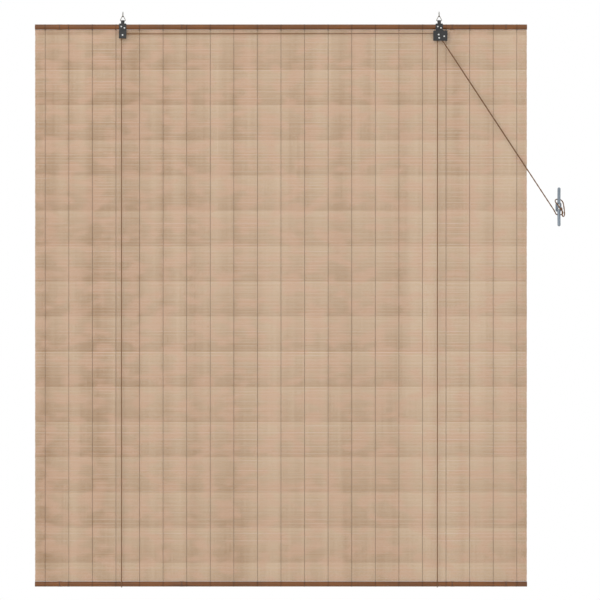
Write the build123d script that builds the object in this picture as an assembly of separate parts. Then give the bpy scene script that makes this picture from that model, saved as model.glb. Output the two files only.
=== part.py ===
from build123d import *
from math import acos, cos, pi, radians, sin, sqrt, tan
import os

# Bamboo roll up blind: a mat of thin bamboo slats between two bamboo poles, hung by two steel
# brackets with rings and screw hooks, raised by two cords that run over sheaves to a cleat.
# Millimetres, +Z up, +X to the right, the room side is -Y. The origin is the middle of the line
# on which the blind hangs, between the bowls of the two screw hooks.

# blind
blindWidth = 1400
blindDrop = 1600  # over both poles
poleDiameter = 15
poleBore = 5
poleNodes = [-630, -282, 487, 640]  # where the canes have their joints
nodeSwell = 0.35  # how far a cane joint stands out
nodeReach = 9  # from a cane joint to where its swelling ends
nodeGroove = 2  # from a cane joint's groove to the top of its swelling
nodeWall = 4  # half the wall that closes the bore at a cane joint
slatCount = 393
slatThickness = 1.2
slatGap = 0.7  # the width of the woven thread between two slats
innerBands = [3, 4, 5, 6, 7, 8, 9, 9, 9, 9, 9, 9]  # slats a band, from the bottom pole outwards
outerBands = 28
outerBandSlats = 10

# brackets
hangSpacing = 900  # between the two hooks
sheetThickness = 1
plateWidth = 20.8
plateCorner = 2
foldRadius = 1.5  # along the middle of the sheet
neckEndY = -1.6  # where the neck runs into its eye
neckEndDrop = 0.7
neckWidth = 10
plateTop = 9.5  # all heights of the bracket are above the head pole's centre
neckBend = 12
neckFoldRadius = 2
plateBottom = -33.4
lipTop = -13  # where the front cheek of the left bracket ends
lockWidth = 40
lockBottom = -40
lockTop = -11.5
lockShift = 3  # the lock is this far to the right of its neck
sheetLap = 4  # how far one part of a plate runs into the next
notchWidth = 9
notchRoom = 1  # on each side of the cords
leftRoom = 5.4  # clear depth between the left bracket's cheeks
lockRoom = 8.2
poleSeat = 0.05  # room between the bracket and the pole
screwSpots = [(-4, 0.7), (5, -3.3)]
screwHeadRadius = 2.3
screwHeadHeight = 1.3
screwSlotWidth = 0.6
screwSlotDepth = 0.45
screwSlotTurn = 35
screwShankRadius = 1.1
screwLength = 11
fitGap = 0.05  # room round a shank in its hole
headRounding = 0.7  # of a rivet's or screw's head height
drillReach = 40  # longer than anything that a drill goes through
wirePoint = 0.3  # the radius of a pointed end

# sheaves and lock
cordDiameter = 2.5
runGap = 0.25  # between a cord and the groove that it runs in
cordRest = 0.15  # between a cord and the pole that it goes round
cordRelief = 0.1  # how much tighter a cord bends than what it goes round
cordsApart = 0.1  # between the two cords on the upper sheave
pitchRadius = 3.5
flangeRadius = 4.4
axleRadius = 1.2
boreGap = 0.25
sheaveWidth = 4.2
wideSheaveWidth = 7
grooveWidth = 3.4
grooveSlope = 0.5
rivetHeadRadius = 2.4
rivetHeadHeight = 0.9
rivetTailRadius = 1.92
rivetTailHeight = 0.54
cordHoleRoom = 0.8  # round a cord in a bracket's foot
leftSheavePlace = (0.0, -23.8)  # from the bracket's middle and the pole's centre
upperSheavePlace = (-1.8, -22.8)
guideHeight = -32.3
guideGap = 0.3  # between the guide roller and the cords
camPlace = (13.9, -27.5)
guideRadius = 2.4
camRadius = 7.2
camThrow = 1.2  # how far the cam's disc is off its axle
camTooth = 0.5
camTeeth = 26

# rings and hooks
railDrop = 30  # from the hanging line to the head pole's centre
ringWire = 1.8
ringBaseHeight = 17.4
ringHalfBase = 8.5
ringCorner = 2
hookWire = 2.4
hookBowl = 3.5
hookTip = 3
hookTop = 14.5
hookPoint = 2.5
hangGap = 0.3  # between ring and hook

# cleat
cleatSide = 90.6  # from the mat's edge to the cleat's middle
cleatHeight = -512
cleatLength = 111
cleatBar = 8.9
cleatBow = 5
cleatBarY = -4
cleatBaseWidth = 17
cleatBaseHeight = 26
cleatBaseDepth = 6.3
cleatBaseEdge = 2
cleatWaistWidth = 7.565
cleatWaistHeight = 19.5
wallY = 14
cleatScrewSpread = 10
cleatScrewRadius = 1.7  # of the thread, which starts at the wall
cleatScrewNeck = 2.0  # the radius of its plain part in the cleat
cleatScrewHead = 2.9
cleatScrewHeadHeight = 2
cleatScrewRounding = 1.2
cleatScrewLength = 36
cleatScrewPoint = 4
cleatScrewSeat = 2  # how deep its head lies in the bar's middle
pairThickness = 1.44  # of both cords laid together, in cord diameters
pairStart = 3  # from the upper sheave to where they lie together
crossStart = 2  # below the left sheave
tuck = 5.5  # a lift cord's end lies this far in front of the head pole's top
# the figure of eight and the bight, from the cleat's middle
cleatWraps = [
    (-11.5, -4.5, -13), (-8, 2.8, -22), (8, 2.2, -23), (12.8, -4.5, -16), (4, -11, -5), (-4, -11.2, 6),
    (-11.8, -5, 16), (-8, 2.8, 22.5), (5, 2.8, 22), (11.8, -3.5, 14), (14, -9.5, 0), (16.5, -10, -27),
    (8.8, -11.5, -27.5), (8.4, -12.6, -8), (7.3, -12.8, -2),
]

# worked out
poleRadius = poleDiameter / 2
cordRadius = cordDiameter / 2
poleSpacing = blindDrop - poleDiameter
slatPitch = (blindDrop - 2 * poleDiameter - slatGap) / slatCount
slatHeight = slatPitch - slatGap
bandSlats = [outerBandSlats] * outerBands + innerBands[::-1] + [1]
topSlats = slatCount - sum(bandSlats)  # they stay straight when the blind is rolled up
plateBack = -poleRadius - poleSeat
plateFront = plateBack - sheetThickness
leftY = plateFront - leftRoom / 2
lockY = plateFront - lockRoom / 2
bracketX = hangSpacing / 2
ringRadius = ringWire / 2
hookRadius = hookWire / 2
cordSeat = poleRadius + cordRadius + cordRest
pairDiameter = pairThickness * cordDiameter
pairOffset = cordRadius + cordsApart / 2
cleatX = blindWidth / 2 + cleatSide
cleatSeatY = cleatBarY - cleatScrewSeat


def up(height):
    """A height above the head pole's centre, in the blind's frame."""
    return height - railDrop


def keep(name, solids):
    """Write one node."""
    shape = Compound(children=solids) if isinstance(solids, list) else solids
    export_step(shape, f"parts/{name}.step")


def rod(radius, start, end):
    """A cylinder between two points."""
    line = Vector(*end) - Vector(*start)
    low = (Align.CENTER, Align.CENTER, Align.MIN)
    return Plane(origin=start, z_dir=line) * Cylinder(radius, line.length, align=low)


def wire(diameter, line):
    """A round section along a path."""
    return sweep(Plane(origin=line @ 0, z_dir=line % 0) * Circle(diameter / 2), path=line)


def bendRadii(route, known):
    """The largest radius that each corner's two runs allow, apart from those that are known."""
    points = [Vector(*point) for point in route]
    radii = []
    for index in range(1, len(points) - 1):
        before, after = points[index] - points[index - 1], points[index + 1] - points[index]
        half = radians(before.get_angle(after)) / 2
        radii.append(known.get(index, 0.45 * min(before.length, after.length) / tan(half)))
    return radii


def cord(name, diameter, route, known):
    """A cord's tube: straight runs joined by tangent arcs."""
    radii = bendRadii(route, known)
    line = FilletPolyline(*route, radius=radii)
    solid = wire(diameter, line)
    ratio = solid.volume / (pi * diameter**2 / 4 * line.length)
    print(f"{name}: {line.length:.1f} long, radii {[round(r, 1) for r in radii]}, volume ratio {ratio:.5f}")
    keep(name, solid)


# the mat and its poles


def slat(index):
    """One slat, counted from the head pole."""
    top = -poleRadius - slatGap - index * slatPitch
    return Pos(0, 0, up(top - slatHeight / 2)) * Box(blindWidth, slatThickness, slatHeight)


def cane(centreHeight):
    """A bamboo pole along X. Its joints swell a little and close its bore."""
    half = blindWidth / 2
    outline = [(-half, 0), (-half, poleRadius)]
    for node in poleNodes:
        outline += [(node - nodeReach, poleRadius), (node - nodeGroove, poleRadius + nodeSwell)]
        outline += [(node, poleRadius)]
        outline += [(node + nodeGroove, poleRadius + nodeSwell), (node + nodeReach, poleRadius)]
    outline += [(half, poleRadius), (half, 0)]
    body = revolve(make_face(Polyline(*outline, close=True)), axis=Axis.X)
    walls = [-half - 2 * nodeWall] + poleNodes + [half + 2 * nodeWall]
    for left, right in zip(walls, walls[1:]):
        body -= rod(poleBore / 2, (left + nodeWall, 0, 0), (right - nodeWall, 0, 0))
    return Pos(0, 0, up(centreHeight)) * body


def headPole():
    body = cane(0)
    for middle in (-bracketX, bracketX):
        for x, z in screwSpots:
            start = (middle + x, -poleDiameter, up(z))
            end = (middle + x, screwLength + plateFront + fitGap, up(z))
            body -= rod(screwShankRadius + fitGap, start, end)
    return body


# brackets: sheet steel strips bent along side profiles of (y, height) points


def strip(middleX, width, points, radius):
    line = FilletPolyline(*[(middleX, y, up(z)) for y, z in points], radius=radius)
    start = Plane(origin=line @ 0, x_dir=(1, 0, 0), z_dir=line % 0)
    return sweep(start * Rectangle(width, sheetThickness), path=line)


def roundedBlock(middleX, width, low, high):
    """What a plate with rounded corners may fill, seen from the front."""
    plane = Plane(origin=(middleX, 0, up((low + high) / 2)), x_dir=(1, 0, 0), z_dir=(0, -1, 0))
    return extrude(plane * RectangleRounded(width, high - low, plateCorner), drillReach, both=True)


def channel(middleX, width, low, high, lip, room):
    """A plate that folds forward at its foot and up again as the front cheek."""
    back, front = plateBack - sheetThickness / 2, plateFront - room - sheetThickness / 2
    foot = low + sheetThickness / 2
    bent = strip(middleX, width, [(back, high), (back, foot), (front, foot), (front, lip)], foldRadius)
    return bent & roundedBlock(middleX, width, low - plateCorner, high)


def neck(middleX):
    """The narrow neck, cranked back over the pole, with its end rolled round the ring."""
    back = plateBack - sheetThickness / 2
    inner, outer = ringRadius + hangGap, ringRadius + hangGap + sheetThickness
    end = (neckEndY, ringBaseHeight - neckEndDrop)
    points = [(back, plateTop - sheetLap), (back, neckBend), end]
    left, right = [(middleX + side * neckWidth / 2, 0, up(ringBaseHeight)) for side in (-1, 1)]
    bent = strip(middleX, neckWidth, points, neckFoldRadius)
    return (bent + rod(outer, left, right)) - rod(inner, left, right)


def through(radius, middleX, place):
    """A drill from the front, right through the bracket."""
    x, z = middleX + place[0], up(place[1])
    return rod(radius, (x, -drillReach, z), (x, 0, z))


def upDrill(x, y, low):
    """A cord's hole in a bracket's foot."""
    reach = 3 * sheetThickness
    return rod(cordRadius + cordHoleRoom, (x, y, up(low - reach)), (x, y, up(low + reach)))


def bracketLeft():
    body = channel(-bracketX, plateWidth, plateBottom, plateTop, lipTop, leftRoom) + neck(-bracketX)
    for place in screwSpots:
        body -= through(screwShankRadius + fitGap, -bracketX, place)
    body -= through(axleRadius + fitGap, -bracketX, leftSheavePlace)
    return body - upDrill(-bracketX + leftSheavePlace[0] - pitchRadius, leftY, plateBottom)


def bracketRight():
    """The lock: a wide channel below the plate that is screwed to the pole."""
    body = channel(bracketX + lockShift, lockWidth, lockBottom, lockTop, lockTop, lockRoom)
    middleY = plateBack - sheetThickness / 2
    plate = Pos(bracketX, middleY, up((plateTop + lockTop - sheetLap) / 2))
    plate = plate * Box(plateWidth, sheetThickness, plateTop - lockTop + sheetLap)
    body += plate & roundedBlock(bracketX, plateWidth, lockTop - 2 * sheetLap, plateTop)
    body += neck(bracketX)
    for place in screwSpots:
        body -= through(screwShankRadius + fitGap, bracketX, place)
    for place in lockAxles:
        body -= through(axleRadius + fitGap, bracketX, place)
    body -= upDrill(strandX, lockY - pairOffset, lockBottom)
    notch = Box(notchWidth, pairDiameter + 2 * notchRoom, 6 * sheetThickness)
    return body - Pos(exitX, lockY, up(lockBottom)) * notch


# what turns in the brackets


def sheave(middle, width, groove):
    """A grooved wheel about Y, the groove as wide as the cords in it."""
    root, bore = pitchRadius - cordRadius - runGap, axleRadius + boreGap
    half, rim = width / 2, groove / 2
    outline = [(bore, -half), (flangeRadius, -half), (flangeRadius, -rim), (root, -rim + grooveSlope)]
    outline += [(root, rim - grooveSlope), (flangeRadius, rim), (flangeRadius, half), (bore, half)]
    return Pos(*middle) * revolve(make_face(Polyline(*outline, close=True)), axis=Axis.Y)


def bored(body, x, z):
    return body - rod(axleRadius + boreGap, (x, -drillReach, z), (x, 0, z))


def guideRoller():
    x, z, half = bracketX + guidePlace[0], up(guidePlace[1]), wideSheaveWidth / 2
    return bored(rod(guideRadius, (x, lockY - half, z), (x, lockY + half, z)), x, z)


def lockCam():
    """An eccentric toothed disc. Its high side faces the cords."""
    x, z, half = bracketX + camPlace[0], up(camPlace[1]), wideSheaveWidth / 2
    discX, discZ = x + camThrow * outDirection[1], z - camThrow * outDirection[0]
    body = rod(camRadius, (discX, lockY - half, discZ), (discX, lockY + half, discZ))
    for step in range(camTeeth):
        turn = 2 * pi * step / camTeeth
        toothX, toothZ = discX + camRadius * cos(turn), discZ + camRadius * sin(turn)
        body -= rod(camTooth, (toothX, lockY - half, toothZ), (toothX, lockY + half, toothZ))
    return bored(body, x, z)


def frontFirst(body):
    return body.edges().filter_by(GeomType.CIRCLE).sort_by(Axis.Y)[0]


def rivet(middleX, place, room):
    """An axle headed outside both cheeks."""
    x, z = middleX + place[0], up(place[1])
    front = plateFront - room - sheetThickness
    head = rod(rivetHeadRadius, (x, front, z), (x, front - rivetHeadHeight, z))
    head = fillet(frontFirst(head), rivetHeadHeight * headRounding)
    tail = rod(rivetTailRadius, (x, plateBack, z), (x, plateBack + rivetTailHeight, z))
    return head + rod(axleRadius, (x, front, z), (x, plateBack, z)) + tail


def bracketScrew(middleX, place):
    x, z = middleX + place[0], up(place[1])
    front = plateFront - screwHeadHeight
    head = rod(screwHeadRadius, (x, plateFront, z), (x, front, z))
    head = fillet(frontFirst(head), screwHeadHeight * headRounding)
    slot = Box(2 * screwHeadRadius, 2 * screwSlotDepth, screwSlotWidth)
    head -= Pos(x, front, z) * Rotation(0, screwSlotTurn, 0) * slot
    return head + rod(screwShankRadius, (x, plateFront, z), (x, plateFront + screwLength, z))


# what it hangs on


def hangingRing(x):
    """A triangle of wire. Its base lies in the bracket's eye, its peak hangs in the hook."""
    bend = hookRadius + hangGap + ringRadius
    base, half = up(ringBaseHeight), ringHalfBase
    rise = -hookRadius - base
    # the sharp peak, whose sides pass the middle of the hook's wire at the bend's radius
    peak = base + half * (half * rise + bend * sqrt(half**2 + rise**2 - bend**2)) / (half**2 - bend**2)
    corners = [(x + half, 0, base), (x, 0, peak), (x - half, 0, base)]
    return wire(ringWire, FilletPolyline(*corners, radius=[ringCorner, bend, ringCorner], close=True))


def screwHook(x):
    """A bent wire: the bowl below, the shank that is screwed in above."""
    middle = hookBowl - hookRadius
    frame = Plane(origin=(x, 0, middle), x_dir=(0, 1, 0), z_dir=(1, 0, 0))
    body = wire(hookWire, frame * CenterArc((0, 0, 0), hookBowl, 180, 180))
    tip = (x, -hookBowl, middle + hookTip)
    body += rod(hookRadius, (x, -hookBowl, middle), tip)
    body += Pos(*tip) * Sphere(hookRadius)
    body += rod(hookRadius, (x, hookBowl, middle), (x, hookBowl, hookTop - hookPoint))
    return body + Pos(x, hookBowl, hookTop - hookPoint / 2) * Cone(hookRadius, wirePoint, hookPoint)


# the cleat


def cleat():
    """Two horns on a short foot, cast in one."""
    z, half = up(cleatHeight), (cleatLength - cleatBar) / 2
    low, high = [(cleatX, cleatBarY - cleatBow, z + side * half) for side in (-1, 1)]
    line = ThreePointArc(low, (cleatX, cleatBarY, z), high)
    body = wire(cleatBar, line)
    body += [Pos(*end) * Sphere(cleatBar / 2) for end in (line @ 0, line @ 1)]
    seat = Plane(origin=(cleatX, wallY, z), x_dir=(1, 0, 0), z_dir=(0, -1, 0))
    base = RectangleRounded(cleatBaseWidth, cleatBaseHeight, cleatBaseWidth / 4)
    plate = extrude(seat * base, cleatBaseDepth)
    plate = fillet(plate.faces().sort_by(Axis.Y)[0].edges(), cleatBaseEdge)
    waist = SlotOverall(cleatWaistHeight, cleatWaistWidth, rotation=90)
    body += [plate, extrude(seat * waist, wallY - cleatBarY)]
    for side in (-1, 1):
        screwZ = z + side * cleatScrewSpread / 2
        front = (cleatX, -drillReach, screwZ)
        body -= rod(cleatScrewNeck + fitGap, front, (cleatX, wallY, screwZ))
        body -= rod(cleatScrewHead + fitGap, front, (cleatX, cleatSeatY, screwZ))
    return body


def cleatScrew(side):
    z, shankEnd = up(cleatHeight) + side * cleatScrewSpread / 2, cleatSeatY + cleatScrewLength
    head = rod(cleatScrewHead, (cleatX, cleatSeatY, z), (cleatX, cleatSeatY - cleatScrewHeadHeight, z))
    body = fillet(frontFirst(head), cleatScrewRounding)
    body += rod(cleatScrewNeck, (cleatX, cleatSeatY, z), (cleatX, wallY, z))
    body += rod(cleatScrewRadius, (cleatX, wallY, z), (cleatX, shankEnd, z))
    tip = Plane(origin=(cleatX, shankEnd + cleatScrewPoint / 2, z), z_dir=(0, 1, 0))
    return body + tip * Cone(cleatScrewRadius, wirePoint, cleatScrewPoint)


# how the cords run through the lock: over the upper sheave, down past the cam, out to the cleat


def touching(centre, reach, target):
    """The direction of a line to target that passes centre on its left, at reach."""
    x, z = target[0] - centre[0], target[1] - centre[1]
    far = x * x + z * z
    along = (far - reach * reach) ** 0.5
    return ((x * along - z * reach) / far, (z * along + x * reach) / far)


sheaveX, sheaveZ = bracketX + upperSheavePlace[0], upperSheavePlace[1]
camX, camZ = bracketX + camPlace[0], camPlace[1]
strandX = sheaveX - pitchRadius
camReach = camRadius + camThrow + pairDiameter / 2 + runGap
downDirection = touching((sheaveX, sheaveZ), -camReach - pitchRadius, (camX, camZ))
outDirection = touching((camX, camZ), camReach, (cleatX + cleatWraps[0][0], cleatHeight + cleatWraps[0][2]))
leaveX, leaveZ = sheaveX - pitchRadius * downDirection[1], sheaveZ + pitchRadius * downDirection[0]
overTop = (sheaveZ + pitchRadius - leaveZ) / downDirection[1]
overCorner = (leaveX + overTop * downDirection[0], sheaveZ + pitchRadius)
joinPlace = (leaveX + pairStart * downDirection[0], leaveZ + pairStart * downDirection[1])
turn = acos(downDirection[0] * outDirection[0] + downDirection[1] * outDirection[1])
ahead = camReach * tan(turn / 2)
camCorner = (
    camX + camReach * downDirection[1] + ahead * downDirection[0],
    camZ - camReach * downDirection[0] + ahead * downDirection[1],
)
exitX = camCorner[0] + (lockBottom - camCorner[1]) * outDirection[0] / outDirection[1]
slope = downDirection[0] / downDirection[1]
guideReach = guideRadius + pairDiameter / 2 + guideGap
guideX = leaveX + (guideHeight - leaveZ) * slope + guideReach / downDirection[1]
guidePlace = (guideX - bracketX, guideHeight)
lockAxles = [upperSheavePlace, guidePlace, camPlace]


def liftCord(x):
    """From under the bracket over the head pole, down the back and up the front."""
    low = -poleSpacing - cordSeat
    back = [(x, -tuck, up(cordSeat)), (x, cordSeat, up(cordSeat))]
    return back + [(x, cordSeat, up(low)), (x, -cordSeat, up(low))]


def overSheave(y):
    return [(overCorner[0], y, up(overCorner[1])), (joinPlace[0], y, up(joinPlace[1]))]


def pullRoute():
    route = [(joinPlace[0], lockY, up(joinPlace[1])), (camCorner[0], lockY, up(camCorner[1]))]
    return route + [(cleatX + x, y, up(cleatHeight + z)) for x, y, z in cleatWraps]


def build():
    os.makedirs("parts", exist_ok=True)

    keep("mat_00", [slat(index) for index in range(topSlats)])
    first = topSlats
    for number, count in enumerate(bandSlats, 1):
        keep(f"mat_{number:02d}", [slat(first + step) for step in range(count)])
        hinge = up(-poleRadius - slatGap / 2 - first * slatPitch)
        print(f"mat_{number:02d}: hinge at {hinge:.3f}, {count} slats")
        first += count
    keep("head_rod", headPole())
    keep("bottom_rod", cane(-poleSpacing))

    keep("bracket_left", bracketLeft())
    keep("bracket_right", bracketRight())
    pairs = [(-bracketX, leftSheavePlace, leftRoom)] + [(bracketX, place, lockRoom) for place in lockAxles]
    keep("bracket_rivets", [rivet(*pair) for pair in pairs])
    keep("bracket_screws", [bracketScrew(x, place) for x in (-bracketX, bracketX) for place in screwSpots])
    leftMiddle = (-bracketX + leftSheavePlace[0], leftY, up(leftSheavePlace[1]))
    keep("sheave_left", sheave(leftMiddle, sheaveWidth, grooveWidth))
    keep("sheave_upper", sheave((sheaveX, lockY, up(sheaveZ)), wideSheaveWidth, grooveWidth + 2 * pairOffset))
    keep("guide_roller", guideRoller())
    keep("lock_cam", lockCam())

    keep("hanging_rings", [hangingRing(x) for x in (-bracketX, bracketX)])
    keep("screw_hooks", [screwHook(x) for x in (-bracketX, bracketX)])
    keep("cleat", cleat())
    keep("cleat_screws", [cleatScrew(side) for side in (-1, 1)])

    leftX = leftMiddle[0] - pitchRadius
    start = (leftX, leftY, up(leftSheavePlace[1] - crossStart))
    turnRadius = cordSeat - cordRelief
    cord("lift_cord_left", cordDiameter, liftCord(leftX) + [start], {1: turnRadius, 2: turnRadius, 3: turnRadius})
    rise = (leftX, leftY, up(leftSheavePlace[1] + pitchRadius))
    cross = [start, rise] + overSheave(lockY + pairOffset)
    cord("cross_cord", cordDiameter, cross, {1: pitchRadius, 2: pitchRadius})
    right = liftCord(strandX) + [(strandX, lockY - pairOffset, up(sheaveZ + pitchRadius))]
    right += overSheave(lockY - pairOffset)
    onSheave = pitchRadius - cordRelief
    tight = {1: turnRadius, 2: turnRadius, 3: turnRadius, 4: onSheave, 5: onSheave}
    cord("lift_cord_right", cordDiameter, right, tight)
    cord("pull_cord", pairDiameter, pullRoute(), {1: camReach, 13: pairDiameter, 14: pairDiameter})


build()
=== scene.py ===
import math
import bmesh
import bpy
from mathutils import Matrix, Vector


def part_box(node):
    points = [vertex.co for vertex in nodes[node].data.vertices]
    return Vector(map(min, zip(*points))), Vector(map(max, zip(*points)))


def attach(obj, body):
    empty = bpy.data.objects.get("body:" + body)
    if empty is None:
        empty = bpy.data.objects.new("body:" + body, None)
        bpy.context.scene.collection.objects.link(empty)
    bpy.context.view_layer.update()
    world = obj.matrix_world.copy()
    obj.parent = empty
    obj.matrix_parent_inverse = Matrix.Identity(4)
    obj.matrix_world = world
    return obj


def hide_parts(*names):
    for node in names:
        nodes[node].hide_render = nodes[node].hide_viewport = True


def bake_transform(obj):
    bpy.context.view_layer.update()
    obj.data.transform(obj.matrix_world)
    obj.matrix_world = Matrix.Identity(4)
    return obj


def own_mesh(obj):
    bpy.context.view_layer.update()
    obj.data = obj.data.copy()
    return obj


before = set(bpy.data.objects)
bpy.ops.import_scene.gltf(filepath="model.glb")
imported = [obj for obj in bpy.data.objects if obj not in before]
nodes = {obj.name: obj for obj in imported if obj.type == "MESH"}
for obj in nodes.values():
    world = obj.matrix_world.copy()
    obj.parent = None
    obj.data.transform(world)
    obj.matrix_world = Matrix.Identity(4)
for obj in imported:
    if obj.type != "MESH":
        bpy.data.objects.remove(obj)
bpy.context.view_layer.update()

# Bamboo roll up blind. Metres, +Z up, the room is on the -Y side, the origin is on the hanging line.

mm = 0.001


# sRGB numbers to a linear colour
def tone(red, green, blue):
    return [((c / 255 + 0.055) / 1.055) ** 2.4 if c > 10 else c / 3294.6 for c in (red, green, blue)] + [1.0]


def meshObject(name, points, faces, material):
    mesh = bpy.data.meshes.new(name)
    mesh.from_pydata([tuple(p) for p in points], [], faces)
    mesh.materials.append(material)
    made = bpy.data.objects.new(name, mesh)
    bpy.context.scene.collection.objects.link(made)
    return made


def smooth(thing, angle=40):
    thing.data.polygons.foreach_set("use_smooth", [True] * len(thing.data.polygons))
    thing.data.set_sharp_from_angle(angle=math.radians(angle))
    return thing


# turns every face of a closed mesh outwards
def outward(thing):
    shape = bmesh.new()
    shape.from_mesh(thing.data)
    bmesh.ops.recalc_face_normals(shape, faces=shape.faces)
    shape.to_mesh(thing.data)
    shape.free()
    return thing


# faces of a tube whose rings are lists of points, with caps unless it closes on itself
def tubeRings(rings, closed=False):
    count, sides = len(rings), len(rings[0])
    points = [p for ring in rings for p in ring]
    faces = []
    for i in range(count if closed else count - 1):
        j = (i + 1) % count
        for k in range(sides):
            after = (k + 1) % sides
            faces.append((i * sides + k, i * sides + after, j * sides + after, j * sides + k))
    if not closed:
        faces.append(tuple(range(sides)))
        faces.append(tuple((count - 1) * sides + k for k in reversed(range(sides))))
    return points, faces


def nodeAdder(tree):
    def add(kind, **values):
        node = tree.nodes.new(kind)
        inputs = values.pop("inputs", {})
        for key, value in values.items():
            setattr(node, key, value)
        for key, value in inputs.items():
            if isinstance(value, bpy.types.NodeSocket):
                tree.links.new(value, node.inputs[key])
            else:
                node.inputs[key].default_value = value
        return node
    return add


def groupShell(name, ins, outs):
    tree = bpy.data.node_groups.new(name, "ShaderNodeTree")
    for socket, value in ins.items():
        kind = "NodeSocketVector" if value is None else "NodeSocketFloat"
        made = tree.interface.new_socket(socket, in_out="INPUT", socket_type=kind)
        if value is not None:
            made.default_value = value
    for socket in outs:
        tree.interface.new_socket(socket, in_out="OUTPUT", socket_type="NodeSocketFloat")
    return tree, nodeAdder(tree)


def noiseAt(add, place, scale, detail):
    return add("ShaderNodeTexNoise", inputs={"Vector": place, "Scale": scale, "Detail": detail}).outputs[0]


def stretchedPlace(add, place, stretch):
    return add("ShaderNodeVectorMath", operation="MULTIPLY", inputs={0: place, 1: stretch}).outputs[0]


def ranged(add, source, low, high, start, end):
    return add("ShaderNodeMapRange", inputs={0: source, 1: low, 2: high, 3: start, 4: end}).outputs[0]


# bamboo fibre along X: fine streaks, softer stains and a height for bump
def caneGrainGroup():
    defaults = {"Vector": None, "Along": 6.0, "Across": 900.0}
    tree, add = groupShell("caneGrain", defaults, ["Fibre", "Stain", "Height"])
    ends = add("NodeGroupInput")
    scales = {0: ends.outputs["Along"], 1: ends.outputs["Across"], 2: ends.outputs["Across"]}
    stretch = add("ShaderNodeCombineXYZ", inputs=scales).outputs[0]
    fibre = noiseAt(add, stretchedPlace(add, ends.outputs["Vector"], stretch), 1.0, 3.0)
    stain = noiseAt(add, ends.outputs["Vector"], 14.0, 2.0)
    out = add("NodeGroupOutput")
    tree.links.new(fibre, out.inputs["Fibre"])
    tree.links.new(stain, out.inputs["Stain"])
    tree.links.new(fibre, out.inputs["Height"])
    return tree


# where a rounded edge has been rubbed, broken up by noise
def edgeWearGroup():
    defaults = {"Vector": None, "Width": 0.0005, "Amount": 0.6}
    tree, add = groupShell("edgeWear", defaults, ["Mask", "Mottle"])
    ends = add("NodeGroupInput")
    bevel = add("ShaderNodeBevel", samples=4, inputs={"Radius": ends.outputs["Width"]}).outputs[0]
    plain = add("ShaderNodeNewGeometry").outputs["Normal"]
    dot = add("ShaderNodeVectorMath", operation="DOT_PRODUCT", inputs={0: bevel, 1: plain})
    edge = ranged(add, dot.outputs["Value"], 0.99, 0.75, 0.0, 1.0)
    mottle = noiseAt(add, ends.outputs["Vector"], 700.0, 4.0)
    rubbed = ranged(add, mottle, 0.35, 0.65, 0.0, 1.0)
    both = add("ShaderNodeMath", operation="MULTIPLY", inputs={0: edge, 1: rubbed}).outputs[0]
    share = {0: both, 1: ends.outputs["Amount"]}
    scaled = add("ShaderNodeMath", operation="MULTIPLY", use_clamp=True, inputs=share)
    out = add("NodeGroupOutput")
    tree.links.new(scaled.outputs[0], out.inputs["Mask"])
    tree.links.new(mottle, out.inputs["Mottle"])
    return tree


caneGrain = caneGrainGroup()
edgeWear = edgeWearGroup()


# a material with its Principled shader, its object coordinates and a node adder
def finishShell(name):
    material = bpy.data.materials.new(name)
    material.use_nodes = True
    tree = material.node_tree
    tree.nodes.clear()
    add = nodeAdder(tree)
    shader = add("ShaderNodeBsdfPrincipled")
    out = add("ShaderNodeOutputMaterial")
    tree.links.new(shader.outputs[0], out.inputs[0])
    place = add("ShaderNodeTexCoord").outputs["Object"]
    return material, tree, add, shader, place


def mixColour(add, factor, first, second):
    node = add("ShaderNodeMix", data_type="RGBA")
    for index, value in ((0, factor), (6, first), (7, second)):
        if isinstance(value, bpy.types.NodeSocket):
            node.id_data.links.new(value, node.inputs[index])
        else:
            node.inputs[index].default_value = value
    return node.outputs[2]


def bumpFrom(add, height, strength, distance):
    values = {"Strength": strength, "Distance": distance, "Height": height}
    return add("ShaderNodeBump", inputs=values).outputs[0]


def grainAt(add, place, along, across):
    values = {"Vector": place, "Along": along, "Across": across}
    return add("ShaderNodeGroup", node_tree=caneGrain, inputs=values).outputs


slatLook = {
    "light": tone(195, 169, 141),
    "dark": tone(158, 126, 94),
    "pink": tone(194, 156, 130),
    "middle": 0.45,
    "bandTop": -0.052,  # the mat's bands darken downwards and start again
    "bandHeight": 0.1002,
    "bandShare": 0.4,
    "columnShare": 1.5,
    "slatShare": 0.1,
    "fibreShare": 0.22,
    "fineShare": 0.5,
    # painted shade: the mat's colour darkens steadily towards its left end (-X)
    "paintedSideShade": 0.22,
    "columns": (13.0, 0.0, 0.4),  # how often each noise changes along X, Y and Z
    "patches": (16.0, 0.0, 28.0),
    "fine": (210.0, 0.0, 1.5),
    "grain": (22.0, 1400.0),
    "pinkShare": 0.55,
    "roughness": (0.5, 0.68),
    "bump": (0.35, 0.0003),
}


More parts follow.
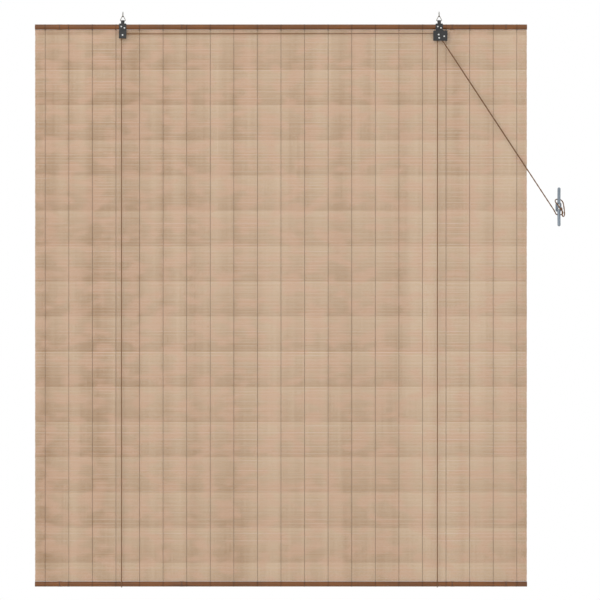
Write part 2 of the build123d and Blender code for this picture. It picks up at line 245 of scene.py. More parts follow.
def makeSlatFinish():
    look = slatLook
    material, tree, add, shader, place = finishShell("bambooSlats")
    axes = add("ShaderNodeSeparateXYZ", inputs={0: place}).outputs
    drop = add("ShaderNodeMath", operation="SUBTRACT", inputs={0: look["bandTop"], 1: axes[2]}).outputs[0]
    bands = add("ShaderNodeMath", operation="DIVIDE", inputs={0: drop, 1: look["bandHeight"]}).outputs[0]
    saw = add("ShaderNodeMath", operation="FRACT", inputs={0: bands}).outputs[0]
    columns = noiseAt(add, stretchedPlace(add, place, look["columns"]), 1.0, 3.0)
    patches = noiseAt(add, stretchedPlace(add, place, look["patches"]), 1.0, 1.0)
    fine = noiseAt(add, stretchedPlace(add, place, look["fine"]), 1.0, 2.0)
    grain = grainAt(add, place, *look["grain"])
    shade = add("ShaderNodeAttribute", attribute_name="slatShade").outputs["Fac"]
    parts = [
        (saw, look["bandShare"], 0.5),
        (columns, -look["columnShare"], 0.5),
        (fine, look["fineShare"], 0.5),
        (shade, look["slatShare"], 0.5),
        (grain["Fibre"], look["fibreShare"], 0.5),
        # painted shade: a steady darkening towards -X across the whole mat
        (axes[0], -look["paintedSideShade"], 0.0),
    ]
    total = look["middle"]
    for source, share, middle in parts:
        centred = add("ShaderNodeMath", operation="SUBTRACT", inputs={0: source, 1: middle}).outputs[0]
        values = {0: centred, 1: share, 2: total}
        total = add("ShaderNodeMath", operation="MULTIPLY_ADD", inputs=values).outputs[0]
    base = mixColour(add, ranged(add, total, 0.0, 1.0, 0.0, 1.0), look["light"], look["dark"])
    tint = ranged(add, patches, 0.45, 0.62, 0.0, look["pinkShare"])
    tree.links.new(mixColour(add, tint, base, look["pink"]), shader.inputs["Base Color"])
    tree.links.new(ranged(add, grain["Fibre"], 0.3, 0.7, *look["roughness"]), shader.inputs["Roughness"])
    tree.links.new(bumpFrom(add, grain["Height"], *look["bump"]), shader.inputs["Normal"])
    return material


poleLook = {
    "middle": tone(126, 72, 14),
    "dark": tone(84, 48, 14),
    "joint": tone(62, 40, 26),
    "joints": (-0.630, -0.282, 0.487, 0.640),
    "jointReach": 0.0022,
    "jointShare": 0.9,
    "grain": (9.0, 420.0),
    "streakShare": 0.85,
    "stainShare": 0.5,
    "roughness": (0.34, 0.5),
    "coat": 0.1,
    "coatRoughness": 0.3,
    "bump": (0.3, 0.0004),
}


def makePoleFinish():
    look = poleLook
    material, tree, add, shader, place = finishShell("darkBamboo")
    grain = grainAt(add, place, *look["grain"])
    streak = ranged(add, grain["Fibre"], 0.35, 0.7, 0.0, look["streakShare"])
    colour = mixColour(add, streak, look["middle"], look["dark"])
    stain = ranged(add, grain["Stain"], 0.4, 0.75, 0.0, look["stainShare"])
    colour = mixColour(add, stain, colour, look["dark"])
    along = add("ShaderNodeSeparateXYZ", inputs={0: place}).outputs[0]
    rings = 0.0
    for joint in look["joints"]:
        away = add("ShaderNodeMath", operation="SUBTRACT", inputs={0: along, 1: joint}).outputs[0]
        near = add("ShaderNodeMath", operation="ABSOLUTE", inputs={0: away}).outputs[0]
        ring = ranged(add, near, 0.0, look["jointReach"], look["jointShare"], 0.0)
        rings = add("ShaderNodeMath", operation="ADD", inputs={0: ring, 1: rings}).outputs[0]
    tree.links.new(mixColour(add, rings, colour, look["joint"]), shader.inputs["Base Color"])
    tree.links.new(ranged(add, grain["Fibre"], 0.3, 0.7, *look["roughness"]), shader.inputs["Roughness"])
    shader.inputs["Coat Weight"].default_value = look["coat"]
    shader.inputs["Coat Roughness"].default_value = look["coatRoughness"]
    tree.links.new(bumpFrom(add, grain["Height"], *look["bump"]), shader.inputs["Normal"])
    return material


threadLook = {"roughness": 0.85, "sheen": 0.1, "sheenRoughness": 0.5, "bump": (0.5, 0.0002)}


def makeThreadFinish(name, colour, shade, scale):
    look = threadLook
    material, tree, add, shader, place = finishShell(name)
    fluff = noiseAt(add, place, scale, 4.0)
    streak = ranged(add, fluff, 0.3, 0.7, 0.0, 1.0)
    tree.links.new(mixColour(add, streak, colour, shade), shader.inputs["Base Color"])
    shader.inputs["Roughness"].default_value = look["roughness"]
    shader.inputs["Sheen Weight"].default_value = look["sheen"]
    shader.inputs["Sheen Roughness"].default_value = look["sheenRoughness"]
    tree.links.new(bumpFrom(add, fluff, *look["bump"]), shader.inputs["Normal"])
    return material


metalLooks = {
    "blackPaint": {"colour": tone(34, 35, 36), "worn": tone(150, 150, 152), "metallic": 0.0,
                   "roughness": 0.42, "wear": 0.7, "grain": 900.0, "bump": 0.15},
    "platedSteel": {"colour": tone(222, 222, 220), "worn": tone(246, 246, 246), "metallic": 1.0,
                    "roughness": 0.24, "wear": 0.4, "grain": 600.0, "bump": 0.05},
    "brassWire": {"colour": tone(112, 106, 94), "worn": tone(190, 182, 160), "metallic": 1.0,
                  "roughness": 0.34, "wear": 0.5, "grain": 500.0, "bump": 0.06},
    "zincCasting": {"colour": tone(138, 148, 158), "worn": tone(196, 202, 206), "metallic": 0.75,
                    "roughness": 0.5, "wear": 0.6, "grain": 350.0, "bump": 0.4},
}
wearWidth = 0.0004


# metal or paint whose rubbed edges show another colour
def makeMetalFinish(name):
    look = metalLooks[name]
    material, tree, add, shader, place = finishShell(name)
    values = {"Vector": place, "Width": wearWidth, "Amount": look["wear"]}
    rub = add("ShaderNodeGroup", node_tree=edgeWear, inputs=values).outputs["Mask"]
    grain = noiseAt(add, place, look["grain"], 5.0)
    darker = [c * 0.6 for c in look["colour"][:3]] + [1.0]
    base = mixColour(add, ranged(add, grain, 0.3, 0.7, 0.0, 0.35), look["colour"], darker)
    tree.links.new(mixColour(add, rub, base, look["worn"]), shader.inputs["Base Color"])
    tree.links.new(ranged(add, rub, 0.0, 1.0, look["metallic"], 1.0), shader.inputs["Metallic"])
    smoother, rougher = look["roughness"] - 0.07, look["roughness"] + 0.1
    tree.links.new(ranged(add, grain, 0.3, 0.7, smoother, rougher), shader.inputs["Roughness"])
    tree.links.new(bumpFrom(add, grain, look["bump"], 0.0002), shader.inputs["Normal"])
    return material


slatFinish = makeSlatFinish()
poleFinish = makePoleFinish()
warpFinish = makeThreadFinish("warpThread", tone(62, 40, 26), tone(38, 24, 16), 2500.0)
cordFinish = makeThreadFinish("brownCord", tone(126, 88, 52), tone(88, 58, 34), 1800.0)
blackPaint = makeMetalFinish("blackPaint")
platedSteel = makeMetalFinish("platedSteel")
brassWire = makeMetalFinish("brassWire")
zincCasting = makeMetalFinish("zincCasting")
print("finishes made")


viewPlan = {
    "middle": (0.0541, -0.8068),
    "width": 1.7076,
    "lens": 200.0,
    "sensor": 36.0,
    "floor": -2.2,
    "floorRadius": 5.5,
    "floorSteps": 96,
    "floorColour": tone(236, 235, 232),
    "aim": (0, 0, -0.8),
    "lights": [("key", (-2.6, -4.2, 1.6), 2.4, 60.0), ("rim", (2.4, 3.4, 1.2), 2.0, 30.0)],
}


def setCamera():
    plan = viewPlan
    data = bpy.data.cameras.new("frontCamera")
    data.lens, data.sensor_width = plan["lens"], plan["sensor"]
    data.clip_end = 60
    camera = bpy.data.objects.new("frontCamera", data)
    distance = plan["width"] * plan["lens"] / plan["sensor"]
    camera.location = (plan["middle"][0], -distance, plan["middle"][1])
    camera.rotation_euler = (math.pi / 2, 0, 0)
    bpy.context.scene.collection.objects.link(camera)
    bpy.context.scene.camera = camera


def softLight(name, place, size, power):
    data = bpy.data.lights.new(name, "AREA")
    data.size, data.energy = size, power
    lamp = bpy.data.objects.new(name, data)
    lamp.location = place
    lamp.rotation_euler = (Vector(viewPlan["aim"]) - Vector(place)).to_track_quat("-Z", "Y").to_euler()
    bpy.context.scene.collection.objects.link(lamp)


def setStudio():
    plan = viewPlan
    scene = bpy.context.scene
    scene.view_settings.view_transform = "Standard"
    world = bpy.data.worlds.new("studio")
    world.use_nodes = True
    world.node_tree.nodes["Background"].inputs["Color"].default_value = (1.0, 1.0, 1.0, 1.0)
    world.node_tree.nodes["Background"].inputs["Strength"].default_value = 1.0
    scene.world = world
    for name, place, size, power in plan["lights"]:
        softLight(name, place, size, power)
    material, tree, add, shader, place = finishShell("paleFloor")
    pale = plan["floorColour"]
    faint = [c * 0.97 for c in pale[:3]] + [1.0]
    tree.links.new(mixColour(add, noiseAt(add, place, 60.0, 2.0), pale, faint), shader.inputs["Base Color"])
    shader.inputs["Roughness"].default_value = 0.8
    reach, steps = plan["floorRadius"], plan["floorSteps"]
    angles = [2 * math.pi * i / steps for i in range(steps)]
    rim = [(reach * math.cos(a), reach * math.sin(a), plan["floor"]) for a in angles]
    meshObject("floor", rim, [tuple(range(steps))], material)


setCamera()
setStudio()
print("camera, light and floor set")


cordPlan = {
    "diameter": 0.0025,
    "pairDiameter": 0.0036,
    "ringStep": 0.0013,
    "lobes": 3,
    "lobeDepth": 0.09,
    "lay": 0.009,  # one turn of the strands
    "pairLay": 0.034,
    "roundness": 60,  # degrees below which faces shade as one
    "anchor": (0, 0, -0.0211),  # where the lift cords leave the head pole
    "keep": 0.038,
    "matEdge": (0.7, -0.0065, -0.435),  # on the pull cord, where it passes the mat's edge
    "cleatEnd": (0.7672, -0.0048, -0.537),
}
leftX, rightX = -453.5, 444.7  # the lift cords, in mm as all the routes
leftRoute = [
    (leftX, -5.5, -21.1), (leftX, 8.9, -21.1), (leftX, 8.9, -36.1), (leftX, 8.9, -1608.9),
    (leftX, 8.9, -1623.9), (leftX, -8.9, -1623.9), (leftX, -8.9, -1608.9), (leftX, -11.25, -70.8),
    (leftX, -11.25, -55.8),
]
crossRoute = [
    (leftX, -11.25, -55.8), (-453.9, -11.25, -49.9), (-448.5, -11.25, -49.6), (-438.5, -11.25, -50.3),
    (435.9, -11.35, -49.3), (445.0, -11.35, -49.1), (451.6, -11.35, -48.7), (452.36, -11.35, -54.79),
]
rightRoute = [
    (rightX, -5.5, -21.1), (rightX, 8.9, -21.1), (rightX, 8.9, -36.1), (rightX, 8.9, -1608.9),
    (rightX, 8.9, -1623.9), (rightX, -8.9, -1623.9), (rightX, -8.9, -1608.9), (rightX, -13.95, -65.0),
    (444.4, -13.95, -48.9), (451.6, -13.95, -48.7), (452.36, -13.95, -54.79),
]
cleatMiddle = (790.6, -542.0)
cleatWraps = [
    (-11.5, -4.5, -13), (-8, 2.8, -22), (8, 2.2, -23), (12.8, -4.5, -16), (4, -11, -5), (-4, -11.2, 6),
    (-11.8, -5, 16), (-8, 2.8, 22.5), (5, 2.8, 22), (11.8, -3.5, 14), (14, -9.5, 0), (16.5, -10, -27),
    (8.8, -11.5, -27.5), (8.4, -12.6, -8), (7.3, -12.8, -2),
]
pullRoute = [
    (452.36, -12.65, -54.79), (453.2, -12.65, -62.4), (466.1, -12.35, -79.9), (767.2, -4.8, -537.0),
]
pullRoute += [(cleatMiddle[0] + x, y, cleatMiddle[1] + z) for x, y, z in cleatWraps]


# the points of a smooth line through space, read from the route's own spline, in metres
def splineLine(route):
    data = bpy.data.curves.new("route", "CURVE")
    data.dimensions = "3D"
    data.resolution_u = 48
    spline = data.splines.new("NURBS")
    spline.points.add(len(route) - 1)
    for point, place in zip(spline.points, route):
        point.co = (place[0] * mm, place[1] * mm, place[2] * mm, 1.0)
    spline.order_u = 3
    spline.use_endpoint_u = True
    thing = bpy.data.objects.new("route", data)
    bpy.context.scene.collection.objects.link(thing)
    mesh = bpy.data.meshes.new_from_object(thing.evaluated_get(bpy.context.evaluated_depsgraph_get()))
    line = [v.co.copy() for v in mesh.vertices]
    bpy.data.objects.remove(thing)
    return line


# the same line with its points a step apart
def evenly(line, step):
    lengths = [0.0]
    for a, b in zip(line, line[1:]):
        lengths.append(lengths[-1] + (b - a).length)
    count = max(2, round(lengths[-1] / step))
    found, at = [], 0
    for i in range(count + 1):
        want = lengths[-1] * i / count
        while at < len(line) - 2 and lengths[at + 1] < want:
            at += 1
        share = (want - lengths[at]) / max(lengths[at + 1] - lengths[at], 1e-9)
        found.append(line[at].lerp(line[at + 1], min(max(share, 0.0), 1.0)))
    return found, lengths[-1]


# a twisted cord: its section has a lobe for each strand and turns along the line
def makeCord(name, route, diameter, lobes, lay):
    plan = cordPlan
    line, length = evenly(splineLine(route), plan["ringStep"])
    sides = 9 if lobes == 3 else 10
    depth = plan["lobeDepth"]
    side = Vector((1, 0, 0)) if abs((line[1] - line[0]).normalized().x) < 0.8 else Vector((0, 0, 1))
    rings = []
    for i, middle in enumerate(line):
        ahead = (line[min(i + 1, len(line) - 1)] - line[max(i - 1, 0)]).normalized()
        side = (side - ahead * side.dot(ahead)).normalized()
        other = ahead.cross(side)
        twist = 2 * math.pi * (length * i / (len(line) - 1)) / lay
        ring = []
        for k in range(sides):
            around = 2 * math.pi * k / sides
            reach = diameter / 2 * (1 - depth + depth * math.cos(lobes * (around - twist)))
            ring.append(middle + (side * math.cos(around) + other * math.sin(around)) * reach)
        rings.append(ring)
    points, faces = tubeRings(rings)
    made = outward(meshObject(name, points, faces, cordFinish))
    smooth(made, plan["roundness"])
    return made, [tuple(p) for p in line], length


def layCord(name, node, route, pair=False):
    plan = cordPlan
    diameter = plan["pairDiameter"] if pair else plan["diameter"]
    lobes, lay = (2, plan["pairLay"]) if pair else (plan["lobes"], plan["lay"])
    cord, line, length = makeCord(name, route, diameter, lobes, lay)
    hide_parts(node)
    return cord


liftLeft = layCord("lift_cord_left_strand", "lift_cord_left", leftRoute)
liftRight = layCord("lift_cord_right_strand", "lift_cord_right", rightRoute)
crossCord = layCord("cross_cord_strand", "cross_cord", crossRoute)
pullCord = layCord("pull_cord_pair", "pull_cord", pullRoute, pair=True)
for lift in (liftLeft, liftRight):
    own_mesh(lift)
    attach(lift, "rail")
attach(crossCord, "rail")
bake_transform(pullCord)
print("cords laid")


matPlan = {
    "slats": 393,
    "slatHeight": 0.0038,  # as it shows, with the worn edges of its neighbours in the gap
    "slatThickness": 0.0012,
    "edge": 0.00028,
    "segments": 14,
    "bow": 0.00006,
    "warps": 21,
    "warpSpacing": 0.0671,
    "threadWidth": 0.0008,
    "threadThickness": 0.00034,
    "threadAside": 0.0003,
    "threadLift": 0.0008,  # from the mat's middle to the middle of a thread that lies on a slat
    "jitter": 0.00004,
    "endJitter": 0.0004,
    "seed": 11,
}


# one split bamboo strip along X, its long edges rubbed round
def slatUnit():
    plan = matPlan
    half = (cadMatHigh.x - cadMatLow.x) / 2 - plan["endJitter"]
    high, thick, edge = plan["slatHeight"] / 2, plan["slatThickness"] / 2, plan["edge"]
    rings = []
    for i in range(plan["segments"] + 1):
        x = -half + 2 * half * i / plan["segments"]
        bow = plan["bow"] * math.sin(9.0 * x + 1.3) + plan["bow"] * 0.6 * math.sin(23.0 * x)
        outline = [
            (-thick, high - edge), (-thick + edge, high), (thick - edge, high), (thick, high - edge),
            (thick, edge - high), (thick - edge, -high), (-thick + edge, -high), (-thick, edge - high),
        ]
        rings.append([(x, y, z + bow) for y, z in outline])
    points, faces = tubeRings(rings)
    return outward(meshObject("slatUnit", points, faces, slatFinish))


# two warp threads over and under two slats. They swap sides in each gap
def stitchUnit():
    plan = matPlan
    wide, thick = plan["threadWidth"] / 2, plan["threadThickness"] / 2
    inset = (pitch - slatTall) / 2
    points, faces = [], []
    for side in (-1, 1):
        x, y = side * plan["threadAside"], -side * plan["threadLift"]
        path = [
            (y, -inset), (y, inset - pitch), (-y, -inset - pitch), (-y, inset - 2 * pitch),
            (y, -inset - 2 * pitch),
        ]
        rings = []
        for py, pz in path:
            ring = []
            for k in range(6):
                around = 2 * math.pi * k / 6
                ring.append((x + wide * math.cos(around), py + thick * math.sin(around), pz))
            rings.append(ring)
        more, sides = tubeRings(rings)
        faces += [tuple(i + len(points) for i in face) for face in sides[:-2]]
        points += more
    return outward(meshObject("stitchUnit", points, faces, warpFinish))


# slats down the drop, and columns of stitches round them
def wovenTree():
    tree = bpy.data.node_groups.new("wovenMat", "GeometryNodeTree")
    add = nodeAdder(tree)
    tree.interface.new_socket("Geometry", in_out="OUTPUT", socket_type="NodeSocketGeometry")
    wanted = [
        ("Slat", "Object"), ("Stitch", "Object"), ("Slats", "Int"), ("Stitches", "Int"), ("Top", "Float"),
        ("Pitch", "Float"), ("Warps", "Int"), ("Spacing", "Float"), ("Jitter", "Float"),
        ("End Jitter", "Float"), ("Seed", "Int"), ("Slat Finish", "Material"), ("Thread Finish", "Material"),
    ]
    for name, kind in wanted:
        tree.interface.new_socket(name, in_out="INPUT", socket_type="NodeSocket" + kind)
    ins = add("NodeGroupInput").outputs

    def line(count, start, step):
        return add("GeometryNodeMeshLine", mode="OFFSET", count_mode="TOTAL",
                   inputs={"Count": count, "Start Location": start, "Offset": step}).outputs[0]

    def triple(x, y, z):
        return add("ShaderNodeCombineXYZ", inputs={0: x, 1: y, 2: z}).outputs[0]

    def math2(operation, a, b):
        return add("ShaderNodeMath", operation=operation, inputs={0: a, 1: b}).outputs[0]

    down = math2("MULTIPLY", ins["Pitch"], -1.0)
    first = math2("ADD", ins["Top"], math2("MULTIPLY", down, 0.5))
    rows = line(ins["Slats"], triple(0.0, 0.0, first), triple(0.0, 0.0, down))
    slat = add("GeometryNodeObjectInfo", inputs={"Object": ins["Slat"]}).outputs["Geometry"]
    chance = {"Probability": 0.5, "Seed": ins["Seed"]}
    turned = add("FunctionNodeRandomValue", data_type="BOOLEAN", inputs=chance)
    turn = math2("MULTIPLY", turned.outputs[3], math.pi)
    laid = add("GeometryNodeInstanceOnPoints",
               inputs={"Points": rows, "Instance": slat, "Rotation": triple(0.0, 0.0, turn)}).outputs[0]
    nextSeed = math2("ADD", ins["Seed"], 1)
    shift = add("FunctionNodeRandomValue", data_type="FLOAT_VECTOR", inputs={"Seed": nextSeed})
    limitHigh = triple(ins["End Jitter"], 0.0, ins["Jitter"])
    flipped = {0: limitHigh, "Scale": -1.0}
    limitLow = add("ShaderNodeVectorMath", operation="SCALE", inputs=flipped).outputs[0]
    tree.links.new(limitLow, shift.inputs[0])
    tree.links.new(limitHigh, shift.inputs[1])
    nudge = {"Instances": laid, "Translation": shift.outputs[0]}
    moved = add("GeometryNodeTranslateInstances", inputs=nudge)
    lastSeed = math2("ADD", ins["Seed"], 2)
    shade = add("FunctionNodeRandomValue", data_type="FLOAT", inputs={"Seed": lastSeed})
    marked = add("GeometryNodeStoreNamedAttribute", data_type="FLOAT", domain="INSTANCE",
                 inputs={"Geometry": moved.outputs[0], "Name": "slatShade", "Value": shade.outputs[1]})
    slatMesh = add("GeometryNodeRealizeInstances", inputs={"Geometry": marked.outputs[0]}).outputs[0]
    slatDone = add("GeometryNodeSetMaterial", inputs={"Geometry": slatMesh,
                                                      "Material": ins["Slat Finish"]})

    stitch = add("GeometryNodeObjectInfo", inputs={"Object": ins["Stitch"]}).outputs["Geometry"]
    double = math2("MULTIPLY", down, 2.0)
    steps = line(ins["Stitches"], triple(0.0, 0.0, ins["Top"]), triple(0.0, 0.0, double))
    seam = add("GeometryNodeInstanceOnPoints", inputs={"Points": steps, "Instance": stitch}).outputs[0]
    reach = math2("MULTIPLY", math2("SUBTRACT", ins["Warps"], 1.0), ins["Spacing"])
    firstColumn = triple(math2("MULTIPLY", reach, -0.5), 0.0, 0.0)
    columns = line(ins["Warps"], firstColumn, triple(ins["Spacing"], 0.0, 0.0))
    seams = add("GeometryNodeInstanceOnPoints", inputs={"Points": columns, "Instance": seam}).outputs[0]
    threadMesh = add("GeometryNodeRealizeInstances", inputs={"Geometry": seams}).outputs[0]
    merged = {"Geometry": threadMesh, "Distance": 0.00002}
    joined = add("GeometryNodeMergeByDistance", inputs=merged).outputs[0]
    threadDone = add("GeometryNodeSetMaterial", inputs={"Geometry": joined,
                                                        "Material": ins["Thread Finish"]})
    both = add("GeometryNodeJoinGeometry")
    tree.links.new(threadDone.outputs[0], both.inputs[0])
    tree.links.new(slatDone.outputs[0], both.inputs[0])
    out = add("NodeGroupOutput")
    tree.links.new(both.outputs[0], out.inputs[0])
    return tree


# runs a tree on an empty mesh and keeps what it makes as a plain mesh
def fromTree(name, tree, values):
    carrier = bpy.data.objects.new(name + "Carrier", bpy.data.meshes.new(name + "Carrier"))
    modifier = carrier.modifiers.new("tree", "NODES")
    modifier.node_group = tree
    for item in tree.interface.items_tree:
        if item.in_out == "INPUT":
            modifier[item.identifier] = values[item.name]
    bpy.context.scene.collection.objects.link(carrier)
    mesh = bpy.data.meshes.new_from_object(carrier.evaluated_get(bpy.context.evaluated_depsgraph_get()))
    bpy.data.objects.remove(carrier)
    made = bpy.data.objects.new(name, mesh)
    mesh.name = name
    bpy.context.scene.collection.objects.link(made)
    print(name, len(mesh.polygons), "faces")
    return made


# trims what lies below foot and caps open tube ends
def closeEnds(thing, foot=None):
    shape = bmesh.new()
    shape.from_mesh(thing.data)
    if foot is not None:
        low = [v for v in shape.verts if v.co.z < foot]
        bmesh.ops.delete(shape, geom=low, context="VERTS")
    rims = [edge for edge in shape.edges if edge.is_boundary]
    bmesh.ops.holes_fill(shape, edges=rims, sides=8)
    bmesh.ops.recalc_face_normals(shape, faces=shape.faces)
    shape.to_mesh(thing.data)
    shape.free()
    return thing


matNodes = sorted(name for name in nodes if name.startswith("mat_"))
cadMatLow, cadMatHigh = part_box(matNodes[0])
footLow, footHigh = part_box(matNodes[-1])  # the last node is one slat
slatTall = footHigh.z - footLow.z
pitch = (cadMatHigh.z - footHigh.z) / (matPlan["slats"] - 1)
gapHalf = (pitch - slatTall) / 2
matTop = cadMatHigh.z + gapHalf
hingeRows = [round((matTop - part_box(name)[1].z - gapHalf) / pitch) for name in matNodes[1:]]
cuts = [hingeRows[0] - 5]  # each piece runs from the middle of one stretch to the middle of the next
for above, below in zip(hingeRows, hingeRows[1:]):
    evenRows = [row for row in range(above + 1, below) if row % 2 == 0]  # a stitch takes two slats
    cuts.append(min(evenRows, key=lambda row: abs(2 * row - above - below)))
cuts.append(matPlan["slats"])


def rowHeight(row):
    return matTop - row * pitch


def weaveMat():
    plan = matPlan
    slat, stitch, tree = slatUnit(), stitchUnit(), wovenTree()
    starts = [0] + cuts[:-1]
    for number, (start, end) in enumerate(zip(starts, cuts)):
        values = {
            "Slat": slat, "Stitch": stitch, "Slats": end - start, "Stitches": (end - start + 1) // 2,
            "Top": rowHeight(start), "Pitch": pitch, "Warps": plan["warps"], "Spacing": plan["warpSpacing"],
            "Jitter": plan["jitter"], "End Jitter": plan["endJitter"], "Seed": plan["seed"] + 10 * number,
            "Slat Finish": slatFinish, "Thread Finish": warpFinish,
        }
        name = "mat_top" if number == 0 else f"mat_bend_{number:02d}"
        piece = fromTree(name, tree, values)
        last = end == plan["slats"]
        closeEnds(piece, rowHeight(end) + gapHalf * 0.5 if last else None)
        smooth(piece, 35)
        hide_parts(matNodes[number])
        if number == 0:
            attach(piece, "rail")
        else:
            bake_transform(piece)
    bpy.data.objects.remove(slat)
    bpy.data.objects.remove(stitch)


weaveMat()
print("mat woven")


tiePlan = {
    "pole": 0.0075,
    "thread": 0.00027,
    "turns": (-0.00045, 0.00035),
    "steps": 28,
    "lean": 0.0005,
    "leanShift": 900,
    "knot": (0.0011, 0.0007, 0.0009),
    "knotAngle": 0.62,
    "tail": 0.0042,
    "tailSpread": 0.0007,
    "seed": 5,
    "turnMost": 0.12,
    "rows": [("head_rod_ties", "head_rod", "rail", 1), ("bottom_rod_ties", "bottom_rod", "band_41", -1)],
}


# two turns of thread round a pole along X, with a knot and two tails at the mat's edge
def tieUnit(radius, flip):
    plan = tiePlan
    points, faces = [], []

    def take(more, sides):
        faces.extend(tuple(i + len(points) for i in face) for face in sides)
        points.extend(more)

    thin = plan["thread"]
    for aside in plan["turns"]:
        rings = []
        for i in range(plan["steps"]):
            around = 2 * math.pi * i / plan["steps"]
            away = Vector((0, math.cos(around), math.sin(around)))
            lean = plan["lean"] * math.sin(around + aside * plan["leanShift"])
            middle = away * (radius + thin) + Vector((aside + lean, 0, 0))
            rings.append([middle + away * thin * math.cos(a) + Vector((thin * math.sin(a), 0, 0))
                          for a in (2 * math.pi * k / 6 for k in range(6))])
        take(*tubeRings(rings, closed=True))
    angle = plan["knotAngle"]
    spot = Vector((0, -math.sin(angle), -flip * math.cos(angle))) * (radius + plan["knot"][1])
    rings = []
    for i in range(1, 6):
        lift = math.pi * i / 6
        rings.append([spot + Vector((plan["knot"][0] * math.cos(lift),
                                     plan["knot"][1] * math.sin(lift) * math.cos(a),
                                     plan["knot"][2] * math.sin(lift) * math.sin(a)))
                      for a in (2 * math.pi * k / 8 for k in range(8))])
    take(*tubeRings(rings))
    for side in (-1, 1):
        rings = []
        for i in range(4):
            spread = side * plan["tailSpread"] * (1 + 0.5 * i)
            middle = spot + Vector((spread, -0.0002, -plan["tail"] * i / 3))
            rings.append([middle + Vector((thin * math.cos(a), thin * math.sin(a), 0)) * 0.8
                          for a in (2 * math.pi * k / 6 for k in range(6))])
        take(*tubeRings(rings))
    return outward(meshObject("tieUnit", points, faces, warpFinish))


# copies of one thing in a row along X
def rowTree():
    tree = bpy.data.node_groups.new("tieRow", "GeometryNodeTree")
    add = nodeAdder(tree)
    tree.interface.new_socket("Geometry", in_out="OUTPUT", socket_type="NodeSocketGeometry")
    for name, kind in [("Thing", "Object"), ("Count", "Int"), ("Start", "Vector"), ("Step", "Vector"),
                       ("Finish", "Material"), ("Seed", "Int"), ("Lean", "Float")]:
        tree.interface.new_socket(name, in_out="INPUT", socket_type="NodeSocket" + kind)
    ins = add("NodeGroupInput").outputs
    steps = {"Count": ins["Count"], "Start Location": ins["Start"], "Offset": ins["Step"]}
    row = add("GeometryNodeMeshLine", mode="OFFSET", count_mode="TOTAL", inputs=steps).outputs[0]
    thing = add("GeometryNodeObjectInfo", inputs={"Object": ins["Thing"]}).outputs["Geometry"]
    lean = add("FunctionNodeRandomValue", data_type="FLOAT", inputs={"Seed": ins["Seed"]})
    low = add("ShaderNodeMath", operation="MULTIPLY", inputs={0: ins["Lean"], 1: -1.0}).outputs[0]
    tree.links.new(low, lean.inputs[2])
    tree.links.new(ins["Lean"], lean.inputs[3])
    turn = add("ShaderNodeCombineXYZ", inputs={0: lean.outputs[1]}).outputs[0]
    placed = {"Points": row, "Instance": thing, "Rotation": turn}
    laid = add("GeometryNodeInstanceOnPoints", inputs=placed).outputs[0]
    real = add("GeometryNodeRealizeInstances", inputs={"Geometry": laid}).outputs[0]
    done = add("GeometryNodeSetMaterial", inputs={"Geometry": real, "Material": ins["Finish"]}).outputs[0]
    out = add("NodeGroupOutput")
    tree.links.new(done, out.inputs[0])
    return tree


def tiePoles():
    tree, reach = rowTree(), matPlan["warpSpacing"] * (matPlan["warps"] - 1) / 2
    for name, pole, body, flip in tiePlan["rows"]:
        low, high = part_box(pole)
        unit = tieUnit(tiePlan["pole"], flip)
        values = {
            "Thing": unit, "Count": matPlan["warps"], "Start": (-reach, 0.0, (low.z + high.z) / 2),
            "Step": (matPlan["warpSpacing"], 0.0, 0.0), "Finish": warpFinish,
            "Seed": tiePlan["seed"], "Lean": tiePlan["turnMost"],
        }
        ties = fromTree(name, tree, values)
        smooth(ties, 60)
        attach(ties, body)
        bpy.data.objects.remove(unit)


tiePoles()
print("poles tied")


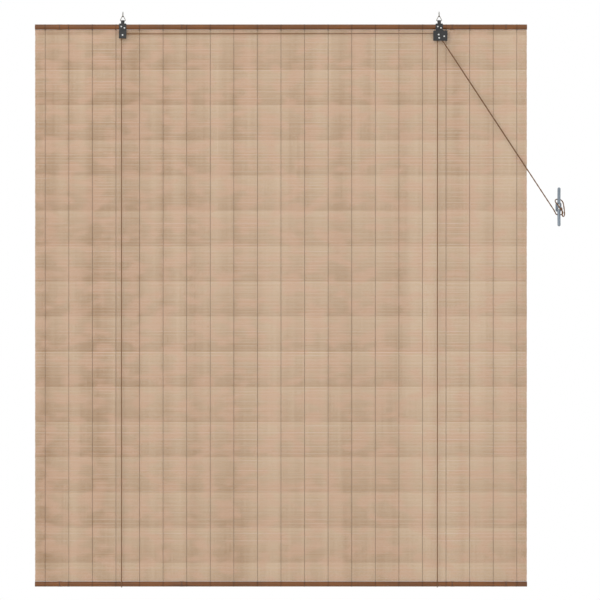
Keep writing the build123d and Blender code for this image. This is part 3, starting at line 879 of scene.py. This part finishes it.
hookThread = {
    "length": 0.0078, "radius": 0.0012, "ridge": 0.0003, "lead": 0.0010,
    "body": "fixings", "slot": "brass_wire", "finish": brassWire,
}
cleatThread = {
    "length": 0.0145, "radius": 0.0017, "ridge": 0.0005, "lead": 0.0014,
    "body": "fixings", "slot": "plated_steel", "finish": platedSteel,
}
threadStart = {"hookX": 0.45, "hookY": 0.0035, "hookZ": 0.0045, "cleatX": 0.7906, "cleatY": 0.0155,
               "cleatZ": -0.542, "cleatSpread": 0.005}
threadRoot = 0.0001  # how far its foot lies inside the shank
threadFoot = 0.32  # half the foot's height, as a share of the lead
threadSteps = 20


# a fine thread wound round a shank from start
def screwThread(name, start, along, plan):
    along = Vector(along).normalized()
    side = along.orthogonal().normalized()
    other = along.cross(side)
    lead, radius = plan["lead"], plan["radius"]
    count = int(threadSteps * plan["length"] / lead)
    rings = []
    for i in range(count + 1):
        around = 2 * math.pi * i / threadSteps
        out = side * math.cos(around) + other * math.sin(around)
        fade = min(1.0, i / threadSteps, (count - i) / threadSteps)
        middle = Vector(start) + along * (lead * i / threadSteps)
        rings.append([middle + out * (radius - threadRoot) + along * lead * threadFoot,
                      middle + out * (radius + max(plan["ridge"] * fade, 0.00002)),
                      middle + out * (radius - threadRoot) - along * lead * threadFoot])
    points, faces = tubeRings(rings)
    thread = outward(meshObject(name, points, faces, plan["finish"]))
    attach(thread, plan["body"])


places = threadStart
for side, label in ((-1, "left"), (1, "right")):
    start = (side * places["hookX"], places["hookY"], places["hookZ"])
    screwThread(f"hook_thread_{label}", start, (0, 0, 1), hookThread)
for side, label in ((-1, "lower"), (1, "upper")):
    start = (places["cleatX"], places["cleatY"], places["cleatZ"] + side * places["cleatSpread"])
    screwThread(f"cleat_thread_{label}", start, (0, 1, 0), cleatThread)

metalFinish = {
    "bracket_left": blackPaint, "bracket_right": blackPaint, "bracket_screws": platedSteel,
    "bracket_rivets": platedSteel, "sheave_left": platedSteel, "sheave_upper": platedSteel,
    "guide_roller": platedSteel, "cleat_screws": platedSteel, "lock_cam": zincCasting, "cleat": zincCasting,
    "hanging_rings": brassWire, "screw_hooks": brassWire, "head_rod": poleFinish, "bottom_rod": poleFinish,
}
for name, finish in metalFinish.items():
    for slot in nodes[name].material_slots:
        slot.material = finish
print("metal finished")
